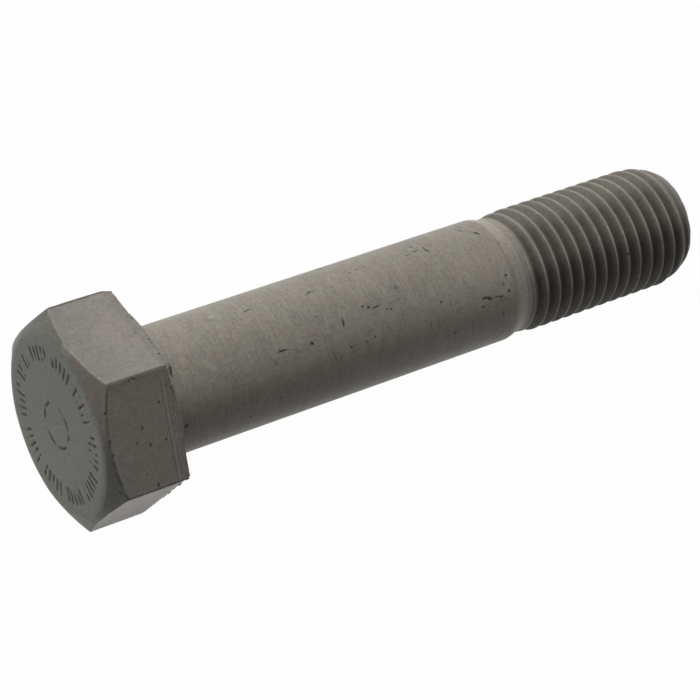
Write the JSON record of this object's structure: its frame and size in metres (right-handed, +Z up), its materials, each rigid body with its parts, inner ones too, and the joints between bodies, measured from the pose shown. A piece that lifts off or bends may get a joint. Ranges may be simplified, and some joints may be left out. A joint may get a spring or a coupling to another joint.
{
  "type": "leaf spring bolt",
  "caption": "Hexagon-head bolt with a plain shank and a rolled right-hand metric thread, for pinning a leaf spring; lying on a surface.",
  "frame": {"origin": "on the surface that the bolt lies on, under the middle of its length", "axes": "+X from the head to the threaded tip, +Z up; the bolt's own axis runs from the head towards (0.99857, 0, -0.05353), 3.1 degrees down to the tip, and two flats of the head face up and down, square to the XZ plane"},
  "size_m": [0.171, 0.0526, 0.0464],
  "materials": {
    "bolt": "dull grey phosphate over forged and rolled steel"
  },
  "bodies": {
    "root": {"bolt": "bolt"}
  },
  "joints": []
}
